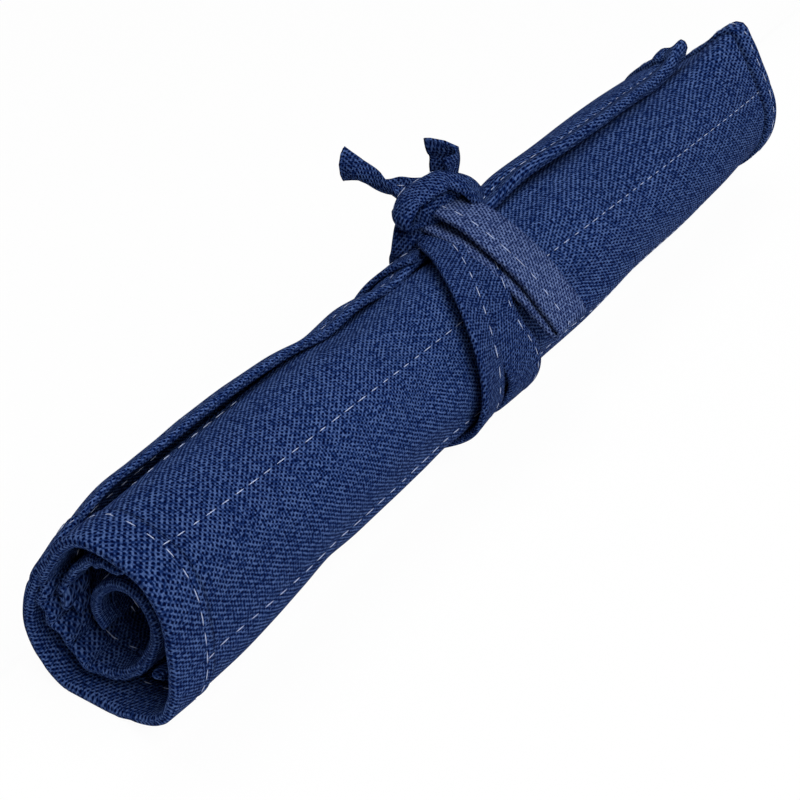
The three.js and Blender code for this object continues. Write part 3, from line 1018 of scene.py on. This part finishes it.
def strapMesh(name, centres, across, facing, width, thickness=None, cup=0.0, slant=0.0, tipRise=0.0,
              finish=None):
    count = len(centres)
    thickness = np.broadcast_to(tie["thickness"] if thickness is None else thickness, count)
    cup = np.broadcast_to(cup, count)
    section = np.array(tie["section"])
    sides = len(section)
    run = np.concatenate([[0], np.cumsum(np.linalg.norm(np.diff(centres, axis=0), axis=1))])
    a = section[None, :, 0] * width[:, None]
    bow = (section[None, :, 0] * 2) ** 2
    h = section[None, :, 1] * thickness[:, None] + cup[:, None] * bow
    points = centres[:, None] + across[:, None] * a[..., None] + facing[:, None] * h[..., None]
    if slant:       # the end is cut at a slant, and its cut threads are uneven
        late = np.linspace(0, 1, count)[:, None] ** 4
        ragged = tie["ragged"] * np.sin(7.3 * np.arange(sides)) * (np.arange(count) == count - 1)[:, None]
        onwards = unit(np.gradient(centres, axis=0))
        further = late * (slant * section[None, :, 0] * 2 + tipRise * bow)
        points = points + onwards[:, None] * (further + ragged)[..., None]
    points[..., 2] = np.maximum(points[..., 2], 0.02)
    ring = np.concatenate([points, points[:, :1]], 1)
    girth = np.cumsum(np.linalg.norm(np.diff(ring, axis=1), axis=2), axis=1)
    girth = np.concatenate([np.zeros((count, 1)), girth], 1)
    faces, corners = [], []
    for i in range(count - 1):
        for k in range(sides):
            n = (k + 1) % sides
            faces.append((i * sides + k, i * sides + n, (i + 1) * sides + n, (i + 1) * sides + k))
            corners += [(run[i], girth[i, k]), (run[i], girth[i, k + 1]),
                        (run[i + 1], girth[i + 1, k + 1]), (run[i + 1], girth[i + 1, k])]
    first, last = np.arange(sides), np.arange(sides) + (count - 1) * sides
    faces.append(tuple(first[::-1].tolist()))
    faces.append(tuple(last.tolist()))
    corners += np.stack([a[0], h[0]], -1)[::-1].tolist() + np.stack([a[-1], h[-1]], -1).tolist()
    obj = meshObject(name, points.reshape(-1, 3), faces, corners, (first, last))
    obj.data.materials.append(finish or strapCloth)
    return obj, run[-1]


def strapRow(centres, across, facing, width, thickness=None, cup=0.0, place=None):
    thickness = tie["thickness"] if thickness is None else thickness
    place = tie["stitchPlace"] if place is None else place
    rise = tie["stitchHeight"] * thickness + cup * (place * 2) ** 2
    aside = np.reshape(place * width, (-1, 1))
    row = centres + across * aside + facing * np.reshape(rise + stitch["lift"], (-1, 1))
    row[:, 2] = np.maximum(row[:, 2], stitch["radius"])
    return row


# Each wrap: at turn angles, its place along the roll, how proud it stands and how it tilts
wrapTurns = [-8, 12, 40, 62, 152, 208, 232, 258, 282, 304, 332, 345, 352]
nearWrap = {
    "turns": wrapTurns,
    "places": [-24, -27.5, -31, -35, -45, -39.8, -41.4, -41.5, -38.5, -32.5, -23, -19, -16],
    "proud": [-0.2, -0.8, -0.9, -1.0, 0.0, -0.1, 0.8, 2.0, 2.6, 2.6, 3.2, 4.2, 5.0],
    "tilt": [0, 0, 0, 0, 0, -3, -8, -9, -8, -6, -3, 0, 0],
    "widths": [11, 11, 12, 13, 15, 16.2, 14.5, 13.5, 12.5, 12, 11.5, 11, 11],
    "stitchPlace": 0.24,
}
farWrap = {
    "turns": wrapTurns,
    "places": [-2, 2, -1, -6, -26, -21.5, -22.8, -27.5, -27, -22, -14, -10, -9],
    "proud": [3.6, 1.0, 0.3, 0.0, 0.0, 0.6, 0.8, 0.6, 0.4, 0.8, 2.4, 3.8, 4.6],
    "tilt": [0, 0, 0, 0, 0, 3, 4, 2, 0, 0, 0, 0, 0],
    "widths": [13, 14, 15, 15, 15, 16.2, 15, 15, 15, 15, 14, 13, 12],
    "stitchPlace": 0.37,
}


def wrapPoint(wrap, turn):
    x = throughPoints(wrap["turns"], wrap["places"], turn)
    proud = throughPoints(wrap["turns"], wrap["proud"], turn)
    angle = np.radians(roll["edgeAngle"] + turn)
    radius = spiralRadius(turn) - drawnIn(turn, x) + proud + tie["thickness"] / 2
    under = between(turn, tie["underTurns"])
    radius = radius + tie["clearance"] * (1 - under)
    z = np.maximum(centreHeight + radius * np.cos(angle), tie["thickness"] / 2)
    return np.stack([x, roll["backShift"] + radius * np.sin(angle), z], -1)


def wrapFrame(wrap, turn):
    centres = wrapPoint(wrap, turn)
    along = unit(wrapPoint(wrap, turn + 1) - wrapPoint(wrap, turn - 1))
    angle = np.radians(roll["edgeAngle"] + turn)
    outwards = np.stack([0 * angle, np.sin(angle), np.cos(angle)], -1)
    across = unit(np.cross(along, outwards))
    facing = unit(np.cross(across, along))
    tilt = np.radians(throughPoints(wrap["turns"], wrap["tilt"], turn))[:, None]
    leaning = across * np.cos(tilt) + facing * np.sin(tilt)
    return centres, leaning, facing * np.cos(tilt) - across * np.sin(tilt)


def addWrap(name, wrap, nodeName, seed):
    for hinge in range(1, tie["lastHinge"] + 1):
        first = wrap["turns"][0] if hinge == 1 else turnAt(sectionMiddle(hinge - 1))
        last = wrap["turns"][-1] if hinge == tie["lastHinge"] else turnAt(sectionMiddle(hinge))
        turns = np.linspace(first, last, tie["rows"])
        width = throughPoints(wrap["turns"], wrap["widths"], turns)
        strapParts = wrapFrame(wrap, turns)
        piece, length = strapMesh("%s_%02d" % (name, hinge), *strapParts, width)
        bendAcross(piece)
        nodes = [nodeName + "_%02d" % hinge] + ([nodeName + "_edge"] if hinge == 1 else [])
        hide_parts(*nodes)
        row = strapRow(*strapParts, width, place=wrap["stitchPlace"])
        thread = stitchObject("%s_stitches_%02d" % (name, hinge), [row], seed + hinge)
        bendAcross(thread)


addWrap("near_wrap_strap", nearWrap, "near_wrap", 40)
addWrap("far_wrap_strap", farWrap, "far_wrap", 60)
print("wraps made")


def smoothPath(stops, count):
    stops = np.asarray(stops, float)
    lengths = np.concatenate([[0], np.cumsum(np.linalg.norm(np.diff(stops, axis=0), axis=1))])
    at = np.linspace(0, lengths[-1], count)
    return np.stack([throughPoints(lengths, stops[:, k], at) for k in range(stops.shape[1])], -1)


def spread(values, count):
    return np.interp(np.linspace(0, 1, count), np.linspace(0, 1, len(values)), values)


# A strap without bend points is attached to its body's empty; a strap with them only has its transform baked
def hangFromKnot(obj, strap, body):
    if "bends" not in strap:
        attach(obj, body)
        return
    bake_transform(obj)


# A strap of the knot through given stops, with the direction of its width along the way
def knotStrap(name, strap, body, nodes):
    count = strap["count"]
    centres = smoothPath(strap["stops"], count)
    directions = np.array(strap["across"], float)
    across = np.stack([spread(directions[:, k], count) for k in range(3)], -1)
    along = unit(np.gradient(centres, axis=0))
    across = unit(across - along * np.sum(across * along, 1, keepdims=True))
    facing = np.cross(across, along)
    shape = {key: spread(strap[key], count) for key in ("width", "thickness", "cup")}
    ending = {key: strap[key] for key in ("slant", "tipRise", "finish") if key in strap}
    piece, length = strapMesh(name, centres, across, facing, **shape, **ending)
    hangFromKnot(piece, strap, body)
    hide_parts(*nodes)
    if strap["seed"]:
        row = strapRow(centres, across, facing, **shape, place=strap.get("stitchPlace"))
        row = row[:-tie["cutEnd"]] if "slant" in strap else row
        thread = stitchObject(name + "_stitches", [row], strap["seed"])
        hangFromKnot(thread, strap, body)


overKnot = (-0.6, -0.8, 0)      # the width of what lies over the knot points this way
knotBand = {
    "stops": [(-16, 15, 52), (-21.5, 17, 53), (-23.4, 17, 55.6), (-21.6, 16.9, 58.6), (-18.9, 16.8, 60.8),
              (-15.5, 15.4, 62.6), (-11.3, 13.2, 64.3), (-7.5, 11.2, 64.8), (-4.5, 7.3, 63),
              (-1.2, 4.4, 58.2), (2.8, 2.8, 51.8)],
    "across": [overKnot, overKnot],
    "width": [9, 10, 10.6, 9.6, 8, 7.4], "thickness": [1.9, 1.9], "cup": [-1.2, -2, -2.4, -2.2, -1.8],
    "count": 60, "seed": 81, "stitchPlace": -0.33,
}
knotStrap("knot_band_strap", knotBand, "edge", ["knot_band"])
knotCore = {
    "stops": [(-19, 16, 49), (-13, 15.5, 55), (-7, 14, 58), (-1, 12, 58.6), (3.4, 9.4, 57.4), (7, 7, 53.6)],
    "across": [overKnot, overKnot],
    "width": [4, 12, 13, 12, 9, 5], "thickness": [2.5, 7, 8, 7, 5, 3], "cup": [-1, -2, -1],
    "count": 40, "seed": 0,
}
knotStrap("knot_core_strap", knotCore, "edge", ["knot_core"])
tieAnchor = {
    "stops": [(-15.5, 18, 35), (-18.3, 16.8, 40), (-20.2, 14.9, 44), (-19.8, 14.7, 47.4),
              (-17.4, 15.2, 51), (-13.6, 14.6, 53.6)],
    "across": [(0.54, -0.84, 0), (0.54, -0.84, 0)],
    "width": [10.5, 10.5], "thickness": [1.7, 1.7], "cup": [0, 0], "count": 24, "seed": 0,
}
knotStrap("tie_anchor_strap", tieAnchor, "edge", ["tie_anchor"])
bowLoop = {
    "stops": [(-9.5, 9, 56.4), (-9.3, 0, 54.8), (-9, -8, 51.1), (-8, -20, 43), (-7.5, -28, 35),
              (-7.4, -31.6, 31.4), (-7.4, -32.5, 29.9), (-7.6, -31.7, 28.7), (-8.4, -27.2, 32.2),
              (-10, -18.8, 40), (-11.4, -7, 47.5), (-11.6, 0, 50.2), (-11.4, 6, 51), (-11, 13.5, 52)],
    "across": [(-0.94, 0.3, 0), (-1, 0.1, 0), (-1, 0, 0), (-1, 0, 0), (-1, 0, 0), (-1, 0.1, 0),
               (-0.94, 0.3, 0)],
    "width": [13.5, 16, 16.8, 17, 16.8, 16, 13.5], "thickness": [1.9, 1.9], "cup": [0, 0],
    "count": 90, "seed": 82,
    "stitchPlace": 0.18, "finish": loopCloth, "bends": [(-9.5, 6, 53), (-9.5, -5, 51)],
}
knotStrap("bow_loop_strap", bowLoop, "bow_loop", ["bow_loop"])
leftTail = {
    "stops": [(-4, 15, 56), (-9, 20.5, 56), (-12.4, 24, 57.2), (-14.2, 27, 58),
              (-15.5, 33, 60.2), (-16.2, 38, 62.4), (-16.6, 41, 63.6)],
    "across": [(0.5, 0, 0.85), (0.7, 0, 0.7), (0.9, 0, 0.35), (0.9, 0, -0.4), (0.5, 0, -0.87), (0.1, 0, -1),
               (-0.2, 0, -0.97)],
    "width": [10.4, 10.2, 8.8, 6.6, 6.4, 9.4], "thickness": [1.6, 1.6], "cup": [0.6, 1, 2.4, 3.4, 3.2, 2.2],
    "count": 56, "seed": 83,
    "slant": -2.2, "bends": [(-9, 20, 56), (-15.5, 33, 60.2)],
}
knotStrap("left_tail_strap", leftTail, "left_tail", ["left_tail"])
upTail = {
    "stops": [(-1.5, 10.7, 56), (0.5, 11.7, 61), (1.5, 11.7, 66), (0.6, 11.7, 69.5)],
    "across": [(-0.6, -0.8, 0), (-0.42, -0.91, 0), (-0.36, -0.93, 0)],
    "width": [8, 8.5, 8], "thickness": [1.4, 1.4], "cup": [4, 7, 8], "count": 40, "seed": 84,
    "slant": -1.8, "tipRise": 5.0, "stitchPlace": 0.3, "bends": [(-0.5, 11.3, 59), (1.3, 11.7, 65)],
}
knotStrap("up_tail_strap", upTail, "up_tail", ["up_tail"])
print("knot made")

# Stage: white floor that keeps a faint shadow, soft lights, camera
stage = {
    "cameraAt": (-343.4, -190.8, 258.0),
    "azimuth": -57.14,
    "elevation": 34.81,
    "focalPixels": 1500.0,
    "imageSize": 800.0,
    "floorWhite": 0.95,
    # level under the roll, then falling away, so that the opened panel and its knot lie clear of it
    "floorReach": 6000,
    "floorAcross": [-6000, -76, -62, -30, -17, -14, -10, -6.5, 13, 27, 36, 44, 50, 60, 6000],
    "floorHeights": [-11, -11, -10.2, -8.2, -7.8, -6.2, -3.4, -0.6, -0.6, -1.8, -8, -26, -39, -41, -41],
    "worldLight": 0.24,
    "sensor": 36.0,
    "lightsAimAt": (0, 0, 0.03),
    # place, size and power of each lamp
    "lights": {"keyLight": ((-0.42, -1.0, 1.3), 0.9, 20), "topLight": ((0.0, 0.25, 1.5), 0.9, 8.5)},
}


# How far a surface is seen by these kinds of ray
def seenBy(tree, *rays):
    path = tree.nodes.new("ShaderNodeLightPath")
    seen = path.outputs[rays[0]]
    for ray in rays[1:]:
        seen = maths(tree, "MAXIMUM", seen, path.outputs[ray])
    return seen


def whiteFloor():
    material, tree, shader = newMaterial("paleFloor")
    shader.inputs["Base Color"].default_value = (0.9, 0.9, 0.9, 1)
    shader.inputs["Roughness"].default_value = 0.95
    shader.inputs["Specular IOR Level"].default_value = 0.0
    seen = seenBy(tree, "Is Camera Ray", "Is Glossy Ray", "Is Transmission Ray")
    glow = tree.nodes.new("ShaderNodeEmission")
    glow.inputs["Color"].default_value = (1, 1, 1, 1)
    glow.inputs["Strength"].default_value = 1.0
    mix = tree.nodes.new("ShaderNodeMixShader")
    tree.links.new(maths(tree, "MULTIPLY", seen, stage["floorWhite"]), mix.inputs[0])
    tree.links.new(shader.outputs[0], mix.inputs[1])
    tree.links.new(glow.outputs[0], mix.inputs[2])
    tree.links.new(mix.outputs[0], tree.nodes["Material Output"].inputs["Surface"])
    return material


across, heights = stage["floorAcross"], stage["floorHeights"]
floorPoints = [(side * stage["floorReach"], y, z) for y, z in zip(across, heights) for side in (-1, 1)]
floorFaces = [(2 * row, 2 * row + 1, 2 * row + 3, 2 * row + 2) for row in range(len(across) - 1)]
floor = meshObject("floor", floorPoints, floorFaces)
floor.data.materials.append(whiteFloor())

world = bpy.data.worlds.new("softSky")
bpy.context.scene.world = world
world.use_nodes = True
sky = world.node_tree.nodes["Background"]
sky.inputs["Color"].default_value = (1, 1, 1, 1)
seen = seenBy(world.node_tree, "Is Camera Ray", "Is Glossy Ray")
lit = maths(world.node_tree, "MULTIPLY_ADD", seen, 1 - stage["worldLight"], stage["worldLight"])
world.node_tree.links.new(lit, sky.inputs["Strength"])


def softLight(name, at, size, power):
    data = bpy.data.lights.new(name, "AREA")
    data.shape = "SQUARE"
    data.size = size
    data.energy = power
    lamp = addObject(name, data)
    lamp.location = at
    lamp.rotation_euler = (Vector(stage["lightsAimAt"]) - Vector(at)).to_track_quat("-Z", "Y").to_euler()


for name, (at, size, power) in stage["lights"].items():
    softLight(name, at, size, power)

azimuth, elevation = math.radians(stage["azimuth"]), math.radians(stage["elevation"])
level = math.cos(elevation)
backward = Vector((math.sin(azimuth) * level, -math.cos(azimuth) * level, math.sin(elevation)))
cameraData = bpy.data.cameras.new("camera")
cameraData.sensor_width = stage["sensor"]
cameraData.lens = stage["sensor"] * stage["focalPixels"] / stage["imageSize"]
cameraData.clip_start = 0.01
camera = addObject("camera", cameraData)
camera.location = Vector(stage["cameraAt"]) * mm
camera.rotation_euler = backward.to_track_quat("Z", "Y").to_euler()
bpy.context.scene.camera = camera
bpy.context.scene.view_settings.view_transform = "Standard"
print("stage set")
